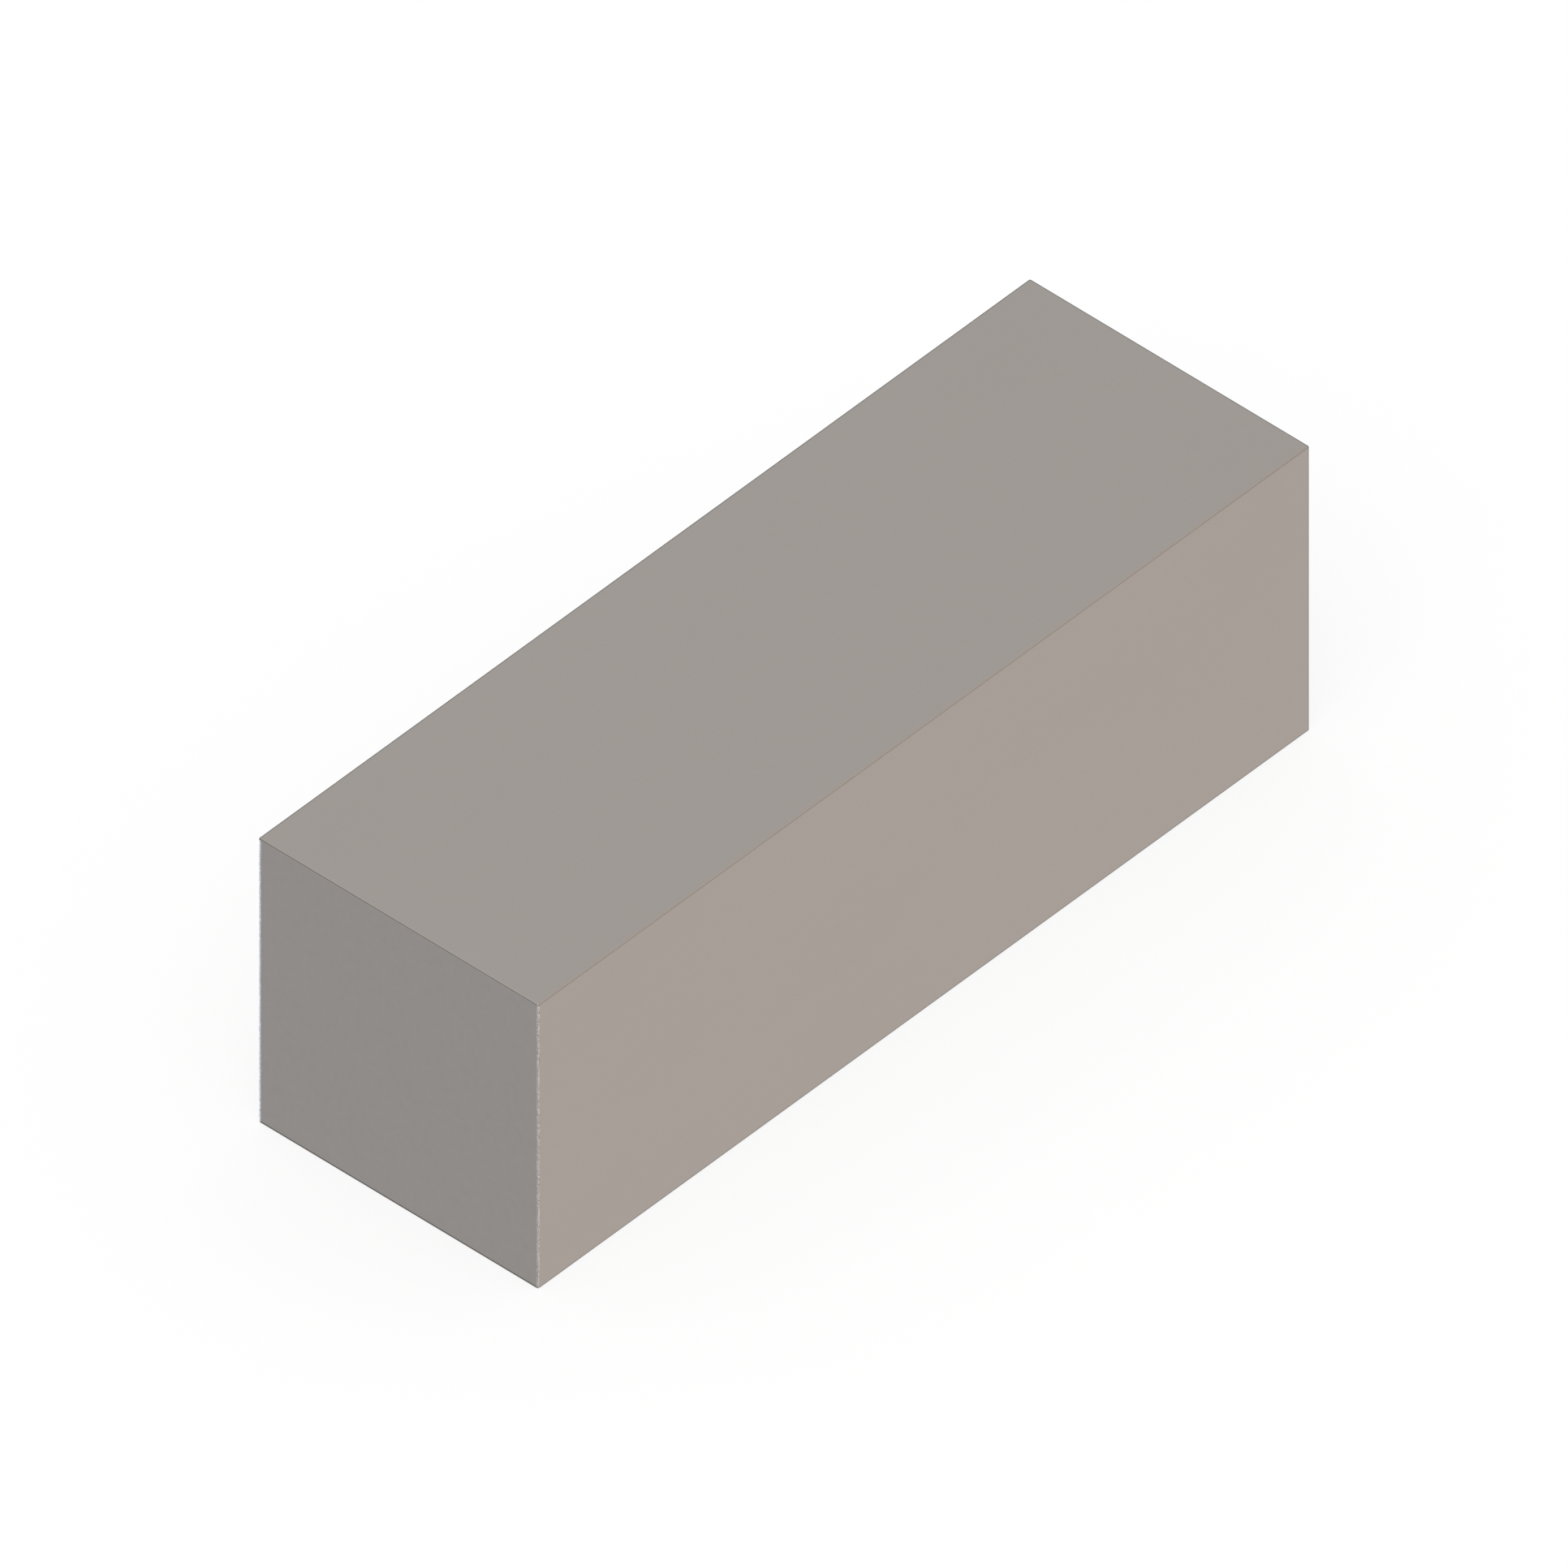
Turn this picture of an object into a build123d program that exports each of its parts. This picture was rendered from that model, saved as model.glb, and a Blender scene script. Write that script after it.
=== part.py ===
from build123d import *
import os

# Parallel key with square ends, cut from bright-drawn square key steel.
# It lies along X with its seat on Z = 0. Its drive sides face +Y and -Y.
# The origin is the centre of the seat, and all sizes are in millimetres.

# Driving dimensions
KEY_WIDTH = 6.0        # across the two drive sides
KEY_HEIGHT = 6.0       # from the seat to the top
KEY_LENGTH = 18.2      # between the two cut ends
EDGE_RADIUS = 0.035    # what drawing and deburring leave on every edge

# Worked out from them
HALF_LENGTH = KEY_LENGTH / 2
MID_HEIGHT = KEY_HEIGHT / 2
SHARP_VOLUME = KEY_WIDTH * KEY_HEIGHT * KEY_LENGTH

PARTS_FOLDER = "parts"


def drawn_bar():
    """The square bar as it leaves the die: its section, with rounded corners, run along X."""
    section_plane = Plane.YZ.offset(-HALF_LENGTH)
    section = section_plane * Pos(0, MID_HEIGHT) * RectangleRounded(
        KEY_WIDTH, KEY_HEIGHT, EDGE_RADIUS
    )
    return extrude(section, KEY_LENGTH)


def deburr_ends(bar):
    """Rounds the sharp rim that cutting to length leaves round each end face."""
    end_faces = bar.faces().sort_by(Axis.X)
    rims = end_faces[0].edges() + end_faces[-1].edges()
    return fillet(rims, EDGE_RADIUS)


def parallel_key():
    """One solid piece: the drawn bar, cut square to length and deburred."""
    return deburr_ends(drawn_bar())


def write_node(name, shape):
    """Writes one sub-part as STEP, named after its node."""
    path = os.path.join(PARTS_FOLDER, name + ".step")
    export_step(shape, path)
    rounded_off = SHARP_VOLUME - shape.volume
    print(f"{path}: {shape.volume:.3f} mm3, {rounded_off:.3f} mm3 less than with sharp edges")


os.makedirs(PARTS_FOLDER, exist_ok=True)
write_node("parallel_key", parallel_key())
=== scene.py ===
# %% [markdown]
# # A parallel key in bright-drawn steel
#
# A parallel key is a short square bar. It lies half in a slot along a shaft and half in a slot
# in a hub, and its two upright sides make them turn together. The real one is drawn through a
# square die, sawn to length and deburred, so this lesson models it in the same three steps. It
# then gives each surface the finish that its step leaves, and lights it as a plain studio would.

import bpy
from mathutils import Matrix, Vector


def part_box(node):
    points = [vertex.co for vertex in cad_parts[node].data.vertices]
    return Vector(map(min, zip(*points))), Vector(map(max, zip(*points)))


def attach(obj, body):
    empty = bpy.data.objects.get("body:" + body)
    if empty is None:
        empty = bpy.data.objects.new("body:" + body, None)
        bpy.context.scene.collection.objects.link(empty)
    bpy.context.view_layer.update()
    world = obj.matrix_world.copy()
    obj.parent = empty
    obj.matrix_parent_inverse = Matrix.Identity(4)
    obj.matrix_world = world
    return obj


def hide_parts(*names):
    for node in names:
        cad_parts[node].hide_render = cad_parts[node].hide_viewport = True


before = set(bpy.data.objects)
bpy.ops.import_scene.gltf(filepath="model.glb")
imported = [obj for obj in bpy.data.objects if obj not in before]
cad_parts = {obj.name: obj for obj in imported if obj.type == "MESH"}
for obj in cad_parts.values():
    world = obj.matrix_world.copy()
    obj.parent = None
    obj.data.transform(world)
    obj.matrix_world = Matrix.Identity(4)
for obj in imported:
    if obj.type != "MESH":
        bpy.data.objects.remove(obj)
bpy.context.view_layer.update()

# %% [markdown]
# ## Measures
#
# The frame holds the key at its real size, in metres, with its length along X, its drive sides
# facing +Y and -Y, and its seat on Z = 0. Its sizes could be typed in again, but then they could
# disagree with the frame, so every place below is worked out from that box. One more size is
# needed: the radius that drawing and deburring leave on each edge.

# %% Read the sizes
import math

import bmesh
import bpy
from mathutils import Vector

MILLIMETRE = 0.001
EDGE_RADIUS = 0.035 * MILLIMETRE

low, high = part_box("parallel_key")
centre = (low + high) / 2
key_length, key_width, key_height = high - low
print(f"key: {key_length * 1000:.3f} x {key_width * 1000:.3f} x {key_height * 1000:.3f} mm")

# %% [markdown]
# ## A helper that measures
#
# After each step it helps to know that the mesh is still one closed skin, with its faces
# turned outwards. A closed skin has two faces on every edge, and its signed volume is positive
# only when the faces point out. Both can be looked for by eye in the overlays, but a number
# that is printed after each step can't be overlooked.


# %% Measure a mesh
def measure(piece, step):
    """Prints the counts, the open edges and the volume of a mesh after a step."""
    mesh = bmesh.new()
    mesh.from_mesh(piece.data)
    open_edges = sum(len(edge.link_faces) != 2 for edge in mesh.edges)
    volume = mesh.calc_volume(signed=True) / MILLIMETRE**3
    print(f"{step}: {len(mesh.faces)} faces, {open_edges} open edges, {volume:.3f} mm3")
    mesh.free()


print("helper ready: measure")

# %% [markdown]
# ## Draw the bar
#
# Key steel is pulled through a square die, which gives it one section all along. The same can
# be done here: a square face is the section, and an extrusion pulls it along X. A cube would
# be one step shorter, but the section is what a bar is ordered by. The bar is made a
# millimetre too long at each end, as stock is, so that the saw has something to cut.

# %% Extrude the section
SAW_STOCK = 1.0 * MILLIMETRE

bpy.ops.object.select_all(action="DESELECT")
bpy.ops.mesh.primitive_plane_add(
    size=1,
    location=(low.x - SAW_STOCK, centre.y, centre.z),
    rotation=(0, math.radians(90), 0),
)
key = bpy.context.object
key.name = "square_key"
key.data.name = "square_key"
key.scale = (key_height, key_width, 1)
bpy.ops.object.transform_apply(location=True, rotation=True, scale=True)

bpy.ops.object.mode_set(mode="EDIT")
bpy.ops.mesh.select_all(action="SELECT")
bar_length = key_length + 2 * SAW_STOCK
bpy.ops.mesh.extrude_region_move(TRANSFORM_OT_translate={"value": (bar_length, 0, 0)})
bpy.ops.mesh.select_all(action="SELECT")
bpy.ops.mesh.normals_make_consistent(inside=False)
bpy.ops.object.mode_set(mode="OBJECT")
measure(key, "drawn bar")

# %% [markdown]
# ## Saw it to length
#
# A saw cuts the bar square at each end. Sliding the two end faces inwards would give the same
# shape, but a cut works on any section and at any angle. Bisect is the saw: a plane with a
# place and a normal splits the mesh, the waste is cleared, and the cut is filled with a new
# face. Its threshold has to be far smaller than usual, because the default of a tenth of a
# millimetre is coarse beside a part of this size.

# %% Bisect both ends
SAW_THRESHOLD = 0.0001 * MILLIMETRE

bpy.ops.object.mode_set(mode="EDIT")
for end_x, outwards in ((low.x, -1), (high.x, 1)):
    bpy.ops.mesh.select_all(action="SELECT")
    bpy.ops.mesh.bisect(
        plane_co=(end_x, 0, 0),
        plane_no=(outwards, 0, 0),
        use_fill=True,
        clear_outer=True,
        threshold=SAW_THRESHOLD,
    )
bpy.ops.object.mode_set(mode="OBJECT")
measure(key, "sawn bar")

# %% [markdown]
# ## Round the edges
#
# No real edge is sharp. The die rounds the four long corners, and deburring rounds the rims of
# the two ends, all by a few hundredths of a millimetre. One bevel over all twelve edges does
# both. Done together, the roundings meet in an eighth of a sphere at each corner, which two
# bevels in turn would not give. Eight steps keep the highlight on them smooth.

# %% Bevel the twelve edges
EDGE_STEPS = 8
ROUND_PROFILE = 0.5

bpy.ops.object.mode_set(mode="EDIT")
bpy.ops.mesh.select_all(action="SELECT")
bpy.ops.mesh.bevel(
    offset=EDGE_RADIUS,
    segments=EDGE_STEPS,
    profile=ROUND_PROFILE,
    affect="EDGES",
)
bpy.ops.object.mode_set(mode="OBJECT")
measure(key, "deburred key")

# %% [markdown]
# ## Shade it smooth, and keep the faces flat
#
# Smooth shading rounds the narrow strips, but on its own it also tilts the light across the
# six large faces, because each corner averages the normals round it. The Weighted Normal
# modifier lets the largest face win that vote, so the faces stay flat to the eye and the
# strips turn smoothly between them.

# %% Smooth shading and weighted normals
SMOOTH_ANGLE = math.radians(30)
LARGEST_FACE_WINS = 100

bpy.ops.object.shade_smooth_by_angle(angle=SMOOTH_ANGLE)
weighting = key.modifiers.new("flat_faces", "WEIGHTED_NORMAL")
weighting.mode = "FACE_AREA"
weighting.weight = LARGEST_FACE_WINS
weighting.keep_sharp = True
bpy.ops.object.modifier_apply(modifier=weighting.name)

largest = max(key.data.polygons, key=lambda face: face.area)
tilts = [
    key.data.corner_normals[corner].vector.angle(largest.normal)
    for corner in largest.loop_indices
]
print(f"largest face: its corner normals tilt by {math.degrees(max(tilts)):.3f} degrees at most")

# %% [markdown]
# ## Shader maths as plain arithmetic
#
# A finish is worked out by nodes. Wiring them one by one hides the idea, so a small helper
# lets it be written as arithmetic. A `Signal` is one output socket, and adding, subtracting or
# multiplying it adds a Math node. The reflected forms, such as `__rsub__`, serve a number that
# comes first, as in `1 - signal`.


# %% Signal
class Signal:
    """One output socket. Arithmetic on it adds Math nodes to its recipe."""

    def __init__(self, recipe, socket):
        self.recipe = recipe
        self.socket = socket

    def math(self, operation, first, second):
        return self.recipe.add("ShaderNodeMath", {"operation": operation}, {0: first, 1: second})

    def __add__(self, other):
        return self.math("ADD", self, other)

    def __radd__(self, other):
        return self.math("ADD", other, self)

    def __sub__(self, other):
        return self.math("SUBTRACT", self, other)

    def __rsub__(self, other):
        return self.math("SUBTRACT", other, self)

    def __mul__(self, other):
        return self.math("MULTIPLY", self, other)

    def __rmul__(self, other):
        return self.math("MULTIPLY", other, self)


print("helper ready: Signal")

# %% [markdown]
# ## One way to add a node
#
# Every other node comes from one method. A `Recipe` is the node tree of a material or of the
# world, and `add` takes a node's kind, then its settings, then the values or signals of its
# sockets. The settings come first because some of them change which sockets a node has. A
# socket is found by its identifier before its name, because a Mix node has several sockets
# with the same name.


# %% Recipe
def find_socket(sockets, wanted):
    """A node's socket by its place in the list, its identifier or its name."""
    if isinstance(wanted, int):
        return sockets[wanted]
    by_identifier = [socket for socket in sockets if socket.identifier == wanted]
    return by_identifier[0] if by_identifier else sockets[wanted]


def set_stops(ramp, stops):
    """Gives a colour ramp these stops, each a position and a colour."""
    ramp.interpolation = "EASE"
    while len(ramp.elements) > 1:
        ramp.elements.remove(ramp.elements[-1])
    ramp.elements[0].position, ramp.elements[0].color = stops[0]
    for position, colour in stops[1:]:
        ramp.elements.new(position).color = colour


class Recipe:
    """The node tree of a material or a world, emptied, with one way to add nodes to it."""

    def __init__(self, owner):
        owner.use_nodes = True
        self.tree = owner.node_tree
        self.tree.nodes.clear()

    def add(self, kind, settings=None, sockets=None, output=0):
        """Adds a node and returns the signal of one of its outputs, if it has any."""
        node = self.tree.nodes.new(kind)
        for name, value in (settings or {}).items():
            if name == "stops":
                set_stops(node.color_ramp, value)
            else:
                setattr(node, name, value)
        for wanted, value in (sockets or {}).items():
            socket = find_socket(node.inputs, wanted)
            if isinstance(value, Signal):
                self.tree.links.new(value.socket, socket)
            else:
                socket.default_value = value
        return Signal(self, find_socket(node.outputs, output)) if node.outputs else None


print("helper ready: Recipe")

# %% [markdown]
# ## Grain that follows the part
#
# Every finish needs a pattern fixed to the metal. A painted texture would need the part to be
# unwrapped, and would blur in a close look, so the pattern is noise on Object coordinates,
# which stay with the part whichever way it is turned. A Mapping node sets how long the grain
# is along each axis: the same noise is round grain when the three lengths are equal, and drawn
# lines when one of them is much longer.


# %% A grain pattern
def grain(recipe, lengths, detail):
    """Noise from 0 to 1 whose spots have these lengths along X, Y and Z, in metres."""
    place = recipe.add("ShaderNodeTexCoord", output="Object")
    scaled = recipe.add(
        "ShaderNodeMapping",
        {"vector_type": "POINT"},
        {"Vector": place, "Scale": [1 / length for length in lengths]},
    )
    return recipe.add(
        "ShaderNodeTexNoise",
        {"noise_dimensions": "3D"},
        {"Vector": scaled, "Scale": 1.0, "Detail": detail},
    )


print("helper ready: grain")

# %% [markdown]
# ## Colours that vary
#
# One colour all over looks like plastic, so each steel colour is made a little darker and a
# little lighter, and a pattern chooses between the two. The Mix node does that choice. A Math
# node can't, because it would turn a colour grey.


# %% Blend and vary colours
def shade(colour, amount=1):
    """A colour made lighter or darker by a share, as RGBA."""
    return tuple(part * amount for part in colour) + (1.0,)


def blend_colours(recipe, share, first, second):
    """The first colour where share is 0, and the second where it is 1."""
    return recipe.add(
        "ShaderNodeMix",
        {"data_type": "RGBA", "clamp_factor": True},
        {"Factor_Float": share, "A_Color": first, "B_Color": second},
        output="Result_Color",
    )


def vary(recipe, share, colour, contrast):
    """A colour that is darker by the contrast where share is 0, and lighter where it is 1."""
    return blend_colours(recipe, share, shade(colour, 1 - contrast), shade(colour, 1 + contrast))


print("helpers ready: shade, blend_colours, vary")

# %% [markdown]
# ## Lines beside a rim
#
# The thin lines beside the rims are painted light and shade: dark ones as painted shade and
# shadow, bright ones as painted highlights. Painting them by hand on a texture would look the
# same, but each line would then have to be painted again on a key of another size. A mask made
# from the distance to the rim moves with it, and one number makes it wider.


# %% Masks from the distance to a rim
def tell_place(recipe):
    """The place on the part as three signals, X, Y and Z, in metres."""
    place = recipe.add("ShaderNodeTexCoord", output="Object")
    split = {"Vector": place}
    return [recipe.add("ShaderNodeSeparateXYZ", sockets=split, output=axis) for axis in "XYZ"]


def rim_line(recipe, distance, reach):
    """1 at the first distance of its reach and 0 at the second, with an even fade between."""
    full, none = reach
    return recipe.add(
        "ShaderNodeMapRange",
        {"interpolation_type": "LINEAR"},
        {"Value": distance, "From Min": full, "From Max": none, "To Min": 1.0, "To Max": 0.0},
    )


print("helpers ready: tell_place, rim_line")

# %% [markdown]
# ## Bare metal
#
# Bare steel has no paint and no oxide that shows, so it is all metal to the shader, and its
# base colour says how much of each colour it mirrors back. A Glossy shader alone would look
# much the same here, but other programs read the Principled one. A Bump node tilts that mirror
# by the pattern's relief, which is far too fine to model.


# %% Finish a recipe as steel
def bare_metal(recipe, colour, roughness, height, relief):
    """Finishes a recipe as steel from its patterns; the relief is in metres."""
    bumped = recipe.add(
        "ShaderNodeBump",
        sockets={"Strength": 1.0, "Distance": relief, "Height": height},
    )
    surface = recipe.add(
        "ShaderNodeBsdfPrincipled",
        sockets={
            "Base Color": colour,
            "Metallic": 1.0,
            "Roughness": roughness,
            "Normal": bumped,
        },
    )
    recipe.add("ShaderNodeOutputMaterial", sockets={"Surface": surface})


print("helper ready: bare_metal")

# %% [markdown]
# ## Drawn faces
#
# The die slides along the bar, so it leaves faint lines along it: a few hundredths of a
# millimetre wide, and several millimetres long. They could be modelled as grooves, but at that
# size they are seen only as tone and gloss. They change the tone by a percent or two, and the
# gloss a little more. The function takes the dark lines beside the rims, which are painted
# shade, as a list, so that one recipe serves the plain faces and those with a painted shade
# line.


# %% The drawn finish
LINE_LENGTHS = (5 * MILLIMETRE, 0.04 * MILLIMETRE, 0.04 * MILLIMETRE)
CLOUD_LENGTHS = (6 * MILLIMETRE, 2.5 * MILLIMETRE, 2.5 * MILLIMETRE)
LINE_SHARE = 0.7
DRAWN_CONTRAST = 0.03
DRAWN_ROUGHNESS = 0.24
DRAWN_ROUGHNESS_RANGE = 0.10
LINE_RELIEF = 0.0004 * MILLIMETRE


def drawn_steel(name, colour, painted_shade_lines=()):
    """The drawn finish, with painted shade lines beside the rims, each by its distance, reach
    and tone.
    """
    material = bpy.data.materials.new(name)
    recipe = Recipe(material)
    lines = grain(recipe, LINE_LENGTHS, detail=3.0)
    clouds = grain(recipe, CLOUD_LENGTHS, detail=1.0)
    tone = lines * LINE_SHARE + clouds * (1 - LINE_SHARE)
    paint = vary(recipe, tone, colour, DRAWN_CONTRAST)
    for distance, reach, shade_tone in painted_shade_lines:
        line = rim_line(recipe, distance(*tell_place(recipe)), reach)
        paint = blend_colours(recipe, line, paint, shade(colour, shade_tone))
    roughness = DRAWN_ROUGHNESS + lines * DRAWN_ROUGHNESS_RANGE
    bare_metal(recipe, paint, roughness, lines, LINE_RELIEF)
    return material


print("helper ready: drawn_steel")

# %% [markdown]
# ## The drawn faces and their rims
#
# The drive sides are painted a touch warmer and lighter than the top and the seat. That is
# painted light: they are the same drawn steel, lit more warmly from their side. On the front
# rims of the top the lower half is painted darker as painted shade. On the sides a thin dark
# line is painted beside the seat as painted shadow, and one beside the far end as painted shade.
# One finish with every line in it would do too, but a line would then also show on faces that it
# doesn't belong to.


# %% Four drawn finishes
STEEL_TOP = (0.367, 0.341, 0.316)
# Painted light: the top's drawn steel made warmer and lighter for the drive sides.
STEEL_SIDE_PAINTED_LIGHT = (0.374, 0.328, 0.294)
# Painted shadow beside the seat and painted shade beside the far end, on the drive sides.
SIDE_SHADE_LINE = (1.0 * EDGE_RADIUS, 1.5 * EDGE_RADIUS)
SIDE_SHADE_TONE = 0.72
# Painted shade: the lower half of each front rim of the top is painted darker.
LOWER_HALF_SHADE = (0.35 * EDGE_RADIUS, 0.05 * EDGE_RADIUS)
END_RIM_SHADE_TONE = 0.86
LONG_RIM_SHADE_TONE = 0.94


def from_top(x, y, z):
    """How far a place is below the top."""
    return high.z - z


def from_seat(x, y, z):
    """How far a place is above the seat."""
    return z - low.z


def from_far_end(x, y, z):
    """How far a place is from the far end."""
    return high.x - x


side_painted_shade_lines = [
    (from_seat, SIDE_SHADE_LINE, SIDE_SHADE_TONE),
    (from_far_end, SIDE_SHADE_LINE, SIDE_SHADE_TONE),
]
end_rim_shade_line = (from_top, LOWER_HALF_SHADE, END_RIM_SHADE_TONE)
long_rim_shade_line = (from_top, LOWER_HALF_SHADE, LONG_RIM_SHADE_TONE)

top_finish = drawn_steel("drawn_top_steel", STEEL_TOP)
side_painted_light_and_shade = drawn_steel("side_steel_painted_light_and_shade", STEEL_SIDE_PAINTED_LIGHT, side_painted_shade_lines)
end_rim_painted_shade = drawn_steel("end_rim_steel_painted_shade", STEEL_TOP, [end_rim_shade_line])
long_rim_painted_light_and_shade = drawn_steel("long_rim_steel_painted_light_and_shade", STEEL_SIDE_PAINTED_LIGHT, [long_rim_shade_line])
print("drawn finishes:", top_finish.name, side_painted_light_and_shade.name)
print("drawn rims:", end_rim_painted_shade.name, long_rim_painted_light_and_shade.name)

# %% [markdown]
# ## Sawn ends
#
# A saw tears the metal rather than drawing it smooth, so the ends are duller, with a fine round
# grain over a soft mottle in place of lines. Their colour is nearly a quarter darker, partly
# from the duller metal and partly as painted shade of ends that turn from the light. A single
# noise with more detail would give grain and mottle at once, but two noises let the grain alone
# lift the surface. Two groups of rims take the same grain, with colours that are painted shade:
# the back rims of the top are a little darker than the ends, and the rims of the seat, where the
# key stands on the floor, are the darkest of all, as painted shadow.


# %% The sawn finish, and rims with painted shade
# Partly painted shade: the sawn ends' colour is darker than the duller metal alone would make
# it.
STEEL_END_PARTLY_SHADED = (0.282, 0.264, 0.251)
# Painted shade: the back rims of the top are painted darker than the ends.
STEEL_BACK_RIM_SHADE = (0.245, 0.235, 0.225)
# Painted shadow: the rims of the seat, where the key stands on the floor, are painted darkest.
STEEL_SEAT_RIM_SHADOW = (0.17, 0.16, 0.15)
GRAIN_LENGTHS = (0.035 * MILLIMETRE,) * 3
MOTTLE_LENGTHS = (0.15 * MILLIMETRE,) * 3
GRAIN_SHARE = 0.4
SAWN_CONTRAST = 0.07
SAWN_ROUGHNESS = 0.34
SAWN_ROUGHNESS_RANGE = 0.12
GRAIN_RELIEF = 0.0008 * MILLIMETRE


def sawn_paint(recipe, colour, spots):
    """A steel colour with a faint round grain over a coarser mottle."""
    mottle = grain(recipe, MOTTLE_LENGTHS, detail=3.0)
    tone = spots * GRAIN_SHARE + mottle * (1 - GRAIN_SHARE)
    return vary(recipe, tone, colour, SAWN_CONTRAST)


def finish_sawn(recipe, paint, spots):
    """Finishes a recipe as dull steel with a fine round relief."""
    roughness = SAWN_ROUGHNESS + spots * SAWN_ROUGHNESS_RANGE
    bare_metal(recipe, paint, roughness, spots, GRAIN_RELIEF)


def sawn_steel(name, colour):
    """Dull steel with a fine round grain."""
    material = bpy.data.materials.new(name)
    recipe = Recipe(material)
    spots = grain(recipe, GRAIN_LENGTHS, detail=2.0)
    finish_sawn(recipe, sawn_paint(recipe, colour, spots), spots)
    return material


far_end_finish = sawn_steel("sawn_far_end_steel", STEEL_END_PARTLY_SHADED)
back_rim_painted_shade = sawn_steel("back_rim_steel_painted_shade", STEEL_BACK_RIM_SHADE)
seat_rim_painted_shadow = sawn_steel("seat_rim_steel_painted_shadow", STEEL_SEAT_RIM_SHADOW)
print("sawn finish:", far_end_finish.name)
print("rims with painted shade:", back_rim_painted_shade.name, seat_rim_painted_shadow.name)

# %% [markdown]
# ## The near end, with painted highlights
#
# The near end has the same grain, and a painted highlight along each of its two upright rims: a
# soft, warm one beside the -Y drive side, and a sharper, brighter, bluish one beside the +Y
# drive side, which is a painted reflection too. A strip of faces could carry each line, but its
# border would be straight. With a mask, a still finer grain can be added to the distance. It
# speckles each highlight with dull and shiny spots and makes its border ragged. A dark line
# beside the seat, painted shadow, finishes this end, as on the sides.


# %% The painted highlights
# Painted highlights along the near end's upright rims; the bluish one beside the +Y side is a
# painted reflection too.
NEAR_HIGHLIGHT_DULL = (0.25, 0.24, 0.23)
NEAR_HIGHLIGHT_SHINY = (0.75, 0.72, 0.68)
FAR_HIGHLIGHT_DULL = (0.40, 0.42, 0.56)
FAR_HIGHLIGHT_SHINY = (0.96, 0.98, 1.0)
NEAR_RIM_HIGHLIGHT = (0.0, 1.5 * EDGE_RADIUS)
FAR_RIM_HIGHLIGHT = (1.45 * EDGE_RADIUS, 1.65 * EDGE_RADIUS)
MARK_LENGTHS = (0.016 * MILLIMETRE,) * 3
MARK_CONTRAST = 8.0
HIGHLIGHT_RAGGED = 2.5 * EDGE_RADIUS
# Painted shadow: a dark line on the near end beside the seat.
SEAT_SHADOW_LINE = (1.35 * EDGE_RADIUS, 1.75 * EDGE_RADIUS)
SEAT_SHADOW_TONE = 0.33


def from_minus_y_side(x, y, z):
    """How far a place is from the -Y drive side."""
    return y - low.y


def from_plus_y_side(x, y, z):
    """How far a place is from the +Y drive side."""
    return high.y - y


PAINTED_HIGHLIGHTS = (
    (from_minus_y_side, NEAR_RIM_HIGHLIGHT, NEAR_HIGHLIGHT_DULL, NEAR_HIGHLIGHT_SHINY),
    (from_plus_y_side, FAR_RIM_HIGHLIGHT, FAR_HIGHLIGHT_DULL, FAR_HIGHLIGHT_SHINY),
)


def end_steel_with_painted_light_and_shade(name, colour):
    """The sawn grain with a painted highlight along each upright rim and a painted shadow line
    at the seat.
    """
    material = bpy.data.materials.new(name)
    recipe = Recipe(material)
    place = tell_place(recipe)
    spots = grain(recipe, GRAIN_LENGTHS, detail=2.0)
    marks = grain(recipe, MARK_LENGTHS, detail=0.0) - 0.5
    speckle = marks * MARK_CONTRAST + 0.5
    ragged = marks * HIGHLIGHT_RAGGED
    paint = sawn_paint(recipe, colour, spots)
    line = rim_line(recipe, from_seat(*place), SEAT_SHADOW_LINE)
    paint = blend_colours(recipe, line, paint, shade(colour, SEAT_SHADOW_TONE))
    for distance, reach, dull, shiny in PAINTED_HIGHLIGHTS:
        metal = blend_colours(recipe, speckle, shade(dull), shade(shiny))
        painted_highlight = rim_line(recipe, distance(*place) + ragged, reach)
        paint = blend_colours(recipe, painted_highlight, paint, metal)
    finish_sawn(recipe, paint, spots)
    return material


near_end_painted_light_and_shade = end_steel_with_painted_light_and_shade("near_end_steel_painted_light_and_shade", STEEL_END_PARTLY_SHADED)
print("filed finish:", near_end_painted_light_and_shade.name)

# %% [markdown]
# ## Put each finish on its faces
#
# Faces could be clicked one by one, or listed by number, but the numbers change as soon as the
# bevel gets another step. A face's normal says as well which step made it. The six large faces
# look straight along one axis, a strip along an edge looks between two, and the corners look
# between all three. Faces are selected by that test, and the slot is assigned to them, as the
# Assign button would do.

# %% Assign the slots
LEVEL = 0.001


def choose_finish(normal):
    """The finish that a face takes, told by where it looks."""
    x, y, z = (0 if abs(part) < LEVEL else math.copysign(1, part) for part in normal)
    if x == 0 and y == 0:
        return top_finish  # the top and the seat
    # The rims of the top and the seat take finishes with painted shade or shadow; the near end
    # takes the one with painted highlights.
    if z > 0 and (x > 0 or y > 0):
        return back_rim_painted_shade  # the two back rims of the top
    if z > 0:
        return end_rim_painted_shade if x < 0 else long_rim_painted_light_and_shade  # its two front rims
    if x < 0 and (y != 0 or z == 0):
        return near_end_painted_light_and_shade  # the near end, its upright rims and its lower corners
    if z < 0:
        return seat_rim_painted_shadow  # the rims of the seat
    if x > 0:
        return far_end_finish if y == 0 else top_finish  # the far end, or its upright rims
    return side_painted_light_and_shade


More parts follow.
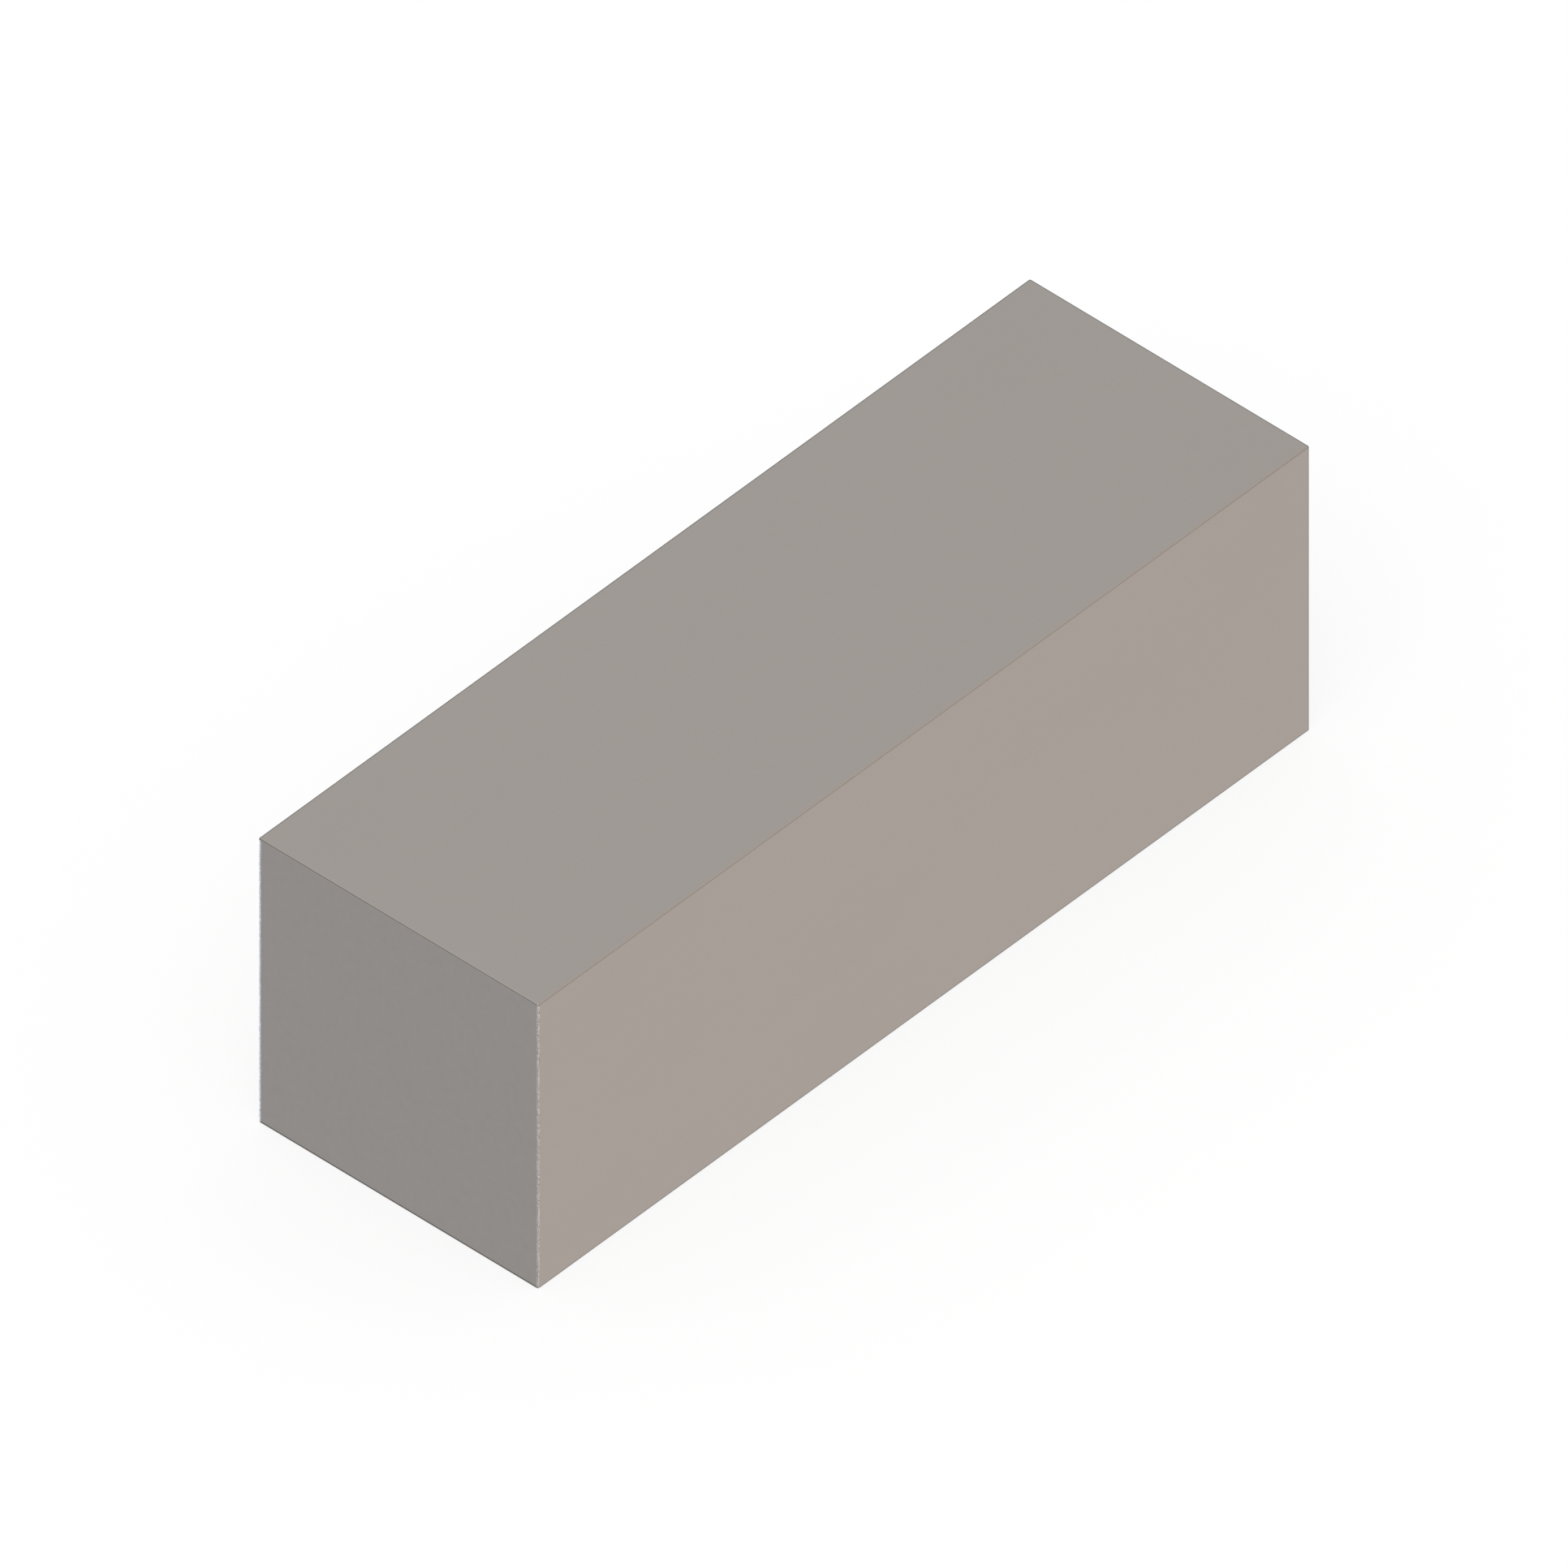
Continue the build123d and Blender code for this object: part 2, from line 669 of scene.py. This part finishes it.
finishes = (
    top_finish,
    side_painted_light_and_shade,
    end_rim_painted_shade,
    long_rim_painted_light_and_shade,
    near_end_painted_light_and_shade,
    far_end_finish,
    back_rim_painted_shade,
    seat_rim_painted_shadow,
)
for finish in finishes:
    key.data.materials.append(finish)

bpy.ops.object.mode_set(mode="EDIT")
bpy.ops.mesh.select_mode(type="FACE")
for number, finish in enumerate(finishes):
    mesh = bmesh.from_edit_mesh(key.data)
    for face in mesh.faces:
        face.select_set(choose_finish(face.normal) == finish)
    chosen = sum(face.select for face in mesh.faces)
    bmesh.update_edit_mesh(key.data)
    key.active_material_index = number
    bpy.ops.object.material_slot_assign()
    print(f"{finish.name}: {chosen} faces")
bpy.ops.mesh.select_all(action="DESELECT")
bpy.ops.object.mode_set(mode="OBJECT")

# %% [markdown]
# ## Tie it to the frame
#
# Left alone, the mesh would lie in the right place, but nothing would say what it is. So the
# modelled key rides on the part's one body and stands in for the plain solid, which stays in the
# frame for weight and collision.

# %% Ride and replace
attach(key, "root")
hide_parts("parallel_key")
print("square_key rides on root and replaces parallel_key")

# %% [markdown]
# ## Floor
#
# The key stands on a plain white floor. Bare metal looks like what it mirrors, so the camera
# and the metal both see the floor glow at strength 1. More lamps could make the floor white as
# well, but they would also bleach the key. The floor keeps a share of its painted colour for
# the camera, which is what holds the key's soft shadow.


# %% White floor
WHITE = (1.0, 1.0, 1.0, 1.0)
FLOOR_SIZE = 0.6
FLOOR_DROP = 0.002 * MILLIMETRE
FLOOR_COLOUR = (0.98, 0.98, 0.98, 1.0)
FLOOR_GLOW = 0.8


def floor_material():
    """White paint that glows for the camera, and fully for what mirrors it."""
    material = bpy.data.materials.new("studio_floor")
    recipe = Recipe(material)
    camera_ray = recipe.add("ShaderNodeLightPath", output="Is Camera Ray")
    mirror_ray = recipe.add("ShaderNodeLightPath", output="Is Glossy Ray")
    glass_ray = recipe.add("ShaderNodeLightPath", output="Is Transmission Ray")
    share = camera_ray * FLOOR_GLOW + mirror_ray + glass_ray
    paint = recipe.add("ShaderNodeBsdfDiffuse", sockets={"Color": FLOOR_COLOUR})
    glow = recipe.add("ShaderNodeEmission", sockets={"Color": WHITE, "Strength": 1.0})
    mixed = recipe.add("ShaderNodeMixShader", sockets={0: share, 1: paint, 2: glow})
    recipe.add("ShaderNodeOutputMaterial", sockets={"Surface": mixed})
    material.cycles.emission_sampling = "NONE"
    return material


bpy.ops.object.select_all(action="DESELECT")
bpy.ops.mesh.primitive_plane_add(size=FLOOR_SIZE, location=(0, 0, low.z - FLOOR_DROP))
floor = bpy.context.object
floor.name = "studio_floor"
bpy.ops.object.transform_apply(location=True, rotation=True, scale=True)
floor.data.materials.append(floor_material())
print(f"floor: {FLOOR_SIZE} m square")

# %% [markdown]
# ## Room
#
# In a room that is white all round, a metal part loses its outline. In a real studio the table
# and the ceiling are white and the walls are grey, and the rounded edges catch the wall as
# thin dark lines. The world is built the same way. Its direction gives a height from -1 below
# to 1 above, and a ramp over that height holds the table, the wall and the ceiling. A black
# wall would draw the lines darker, but the top would then turn black when seen from low down.


# %% World
WALL = (0.25, 0.25, 0.25, 1.0)
TABLE_EDGE = 0.01
WALL_FOOT = 0.03
WALL_TOP = 0.30
CEILING = 0.60


def ramp_position(height):
    """Where a height from -1 to 1 lies on a ramp; the height is a number or a signal."""
    return height * 0.5 + 0.5


room = bpy.data.worlds.new("studio_room")
bpy.context.scene.world = room
recipe = Recipe(room)
direction = recipe.add("ShaderNodeTexCoord", output="Generated")
height = recipe.add("ShaderNodeSeparateXYZ", sockets={"Vector": direction}, output="Z")
levels = ((TABLE_EDGE, WHITE), (WALL_FOOT, WALL), (WALL_TOP, WALL), (CEILING, WHITE))
backdrop = recipe.add(
    "ShaderNodeValToRGB",
    {"stops": [(ramp_position(level), colour) for level, colour in levels]},
    {"Fac": ramp_position(height)},
    output="Color",
)
light = recipe.add("ShaderNodeBackground", sockets={"Color": backdrop, "Strength": 1.0})
recipe.add("ShaderNodeOutputWorld", sockets={"Surface": light})
print("room: wall from", WALL_FOOT, "to", WALL_TOP, "and ceiling from", CEILING)

# %% [markdown]
# ## Aim at the key
#
# Lamps and the camera all look at the middle of the key, so one helper hangs any of them. It
# could take a place as X, Y and Z, but an azimuth and an elevation say at once from which side
# the key is lit or seen.


# %% Hang a lamp or a camera
def hang(thing, azimuth, elevation, distance):
    """Hangs a lamp or a camera, by two angles in degrees, and aims it at the key's middle."""
    a, e = math.radians(azimuth), math.radians(elevation)
    towards = Vector((math.sin(a) * math.cos(e), -math.cos(a) * math.cos(e), math.sin(e)))
    bpy.context.scene.collection.objects.link(thing)
    thing.location = centre + towards * distance
    thing.rotation_euler = (-towards).to_track_quat("-Z", "Y").to_euler()


print("helper ready: hang")

# %% [markdown]
# ## Soft lamps
#
# Two wide softboxes finish the light. The warm one stands low, opposite the near drive side
# and in front of the grey wall, so the long edge beside it isn't drawn as darkly as the others.
# The other one hangs high over the camera's left shoulder and only lifts the light as a whole,
# to the level at which a colour renders about as it is written. Small lamps would do for the
# level, but bare metal would mirror them as hard spots.


# %% Lamps
LAMP_WIDTH = 0.25
WARM_WHITE = (1.0, 0.96, 0.92)
NEUTRAL_WHITE = (1.0, 1.0, 1.0)


def softbox(name, watts, colour):
    """A wide, square area lamp."""
    data = bpy.data.lights.new(name, "AREA")
    data.shape = "SQUARE"
    data.size = LAMP_WIDTH
    data.energy = watts
    data.color = colour
    print(f"{name}: {watts} W")
    return bpy.data.objects.new(name, data)


warm_lamp = softbox("warm_lamp", watts=0.09, colour=WARM_WHITE)
high_lamp = softbox("high_lamp", watts=0.34, colour=NEUTRAL_WHITE)
hang(warm_lamp, azimuth=36, elevation=18, distance=0.40)
hang(high_lamp, azimuth=-60, elevation=55, distance=0.35)

# %% [markdown]
# ## Camera
#
# The camera looks down on the near corner, with the cut end on its left and a drive side on its
# right. A lens with perspective would make the far end look smaller. A technical picture of a
# part is usually a parallel view instead, which keeps parallel edges parallel.

# %% Parallel camera
VIEW_AZIMUTH = -47.73
VIEW_ELEVATION = 41.23
VIEW_WIDTH = 24.87 * MILLIMETRE
CAMERA_DISTANCE = 0.1
CLIP_START = 0.001
CLIP_END = 2.0

camera_data = bpy.data.cameras.new("camera")
camera_data.type = "ORTHO"
camera_data.ortho_scale = VIEW_WIDTH
camera_data.clip_start = CLIP_START
camera_data.clip_end = CLIP_END
camera = bpy.data.objects.new("camera", camera_data)
hang(camera, VIEW_AZIMUTH, VIEW_ELEVATION, CAMERA_DISTANCE)
bpy.context.scene.camera = camera
bpy.context.scene.view_settings.view_transform = "Standard"
print(f"camera: {VIEW_WIDTH * 1000:.2f} mm across")

# %% [markdown]
# ## The same box
#
# The modelled key has to fill the same box as the solid.

# %% Finish
print("finished")
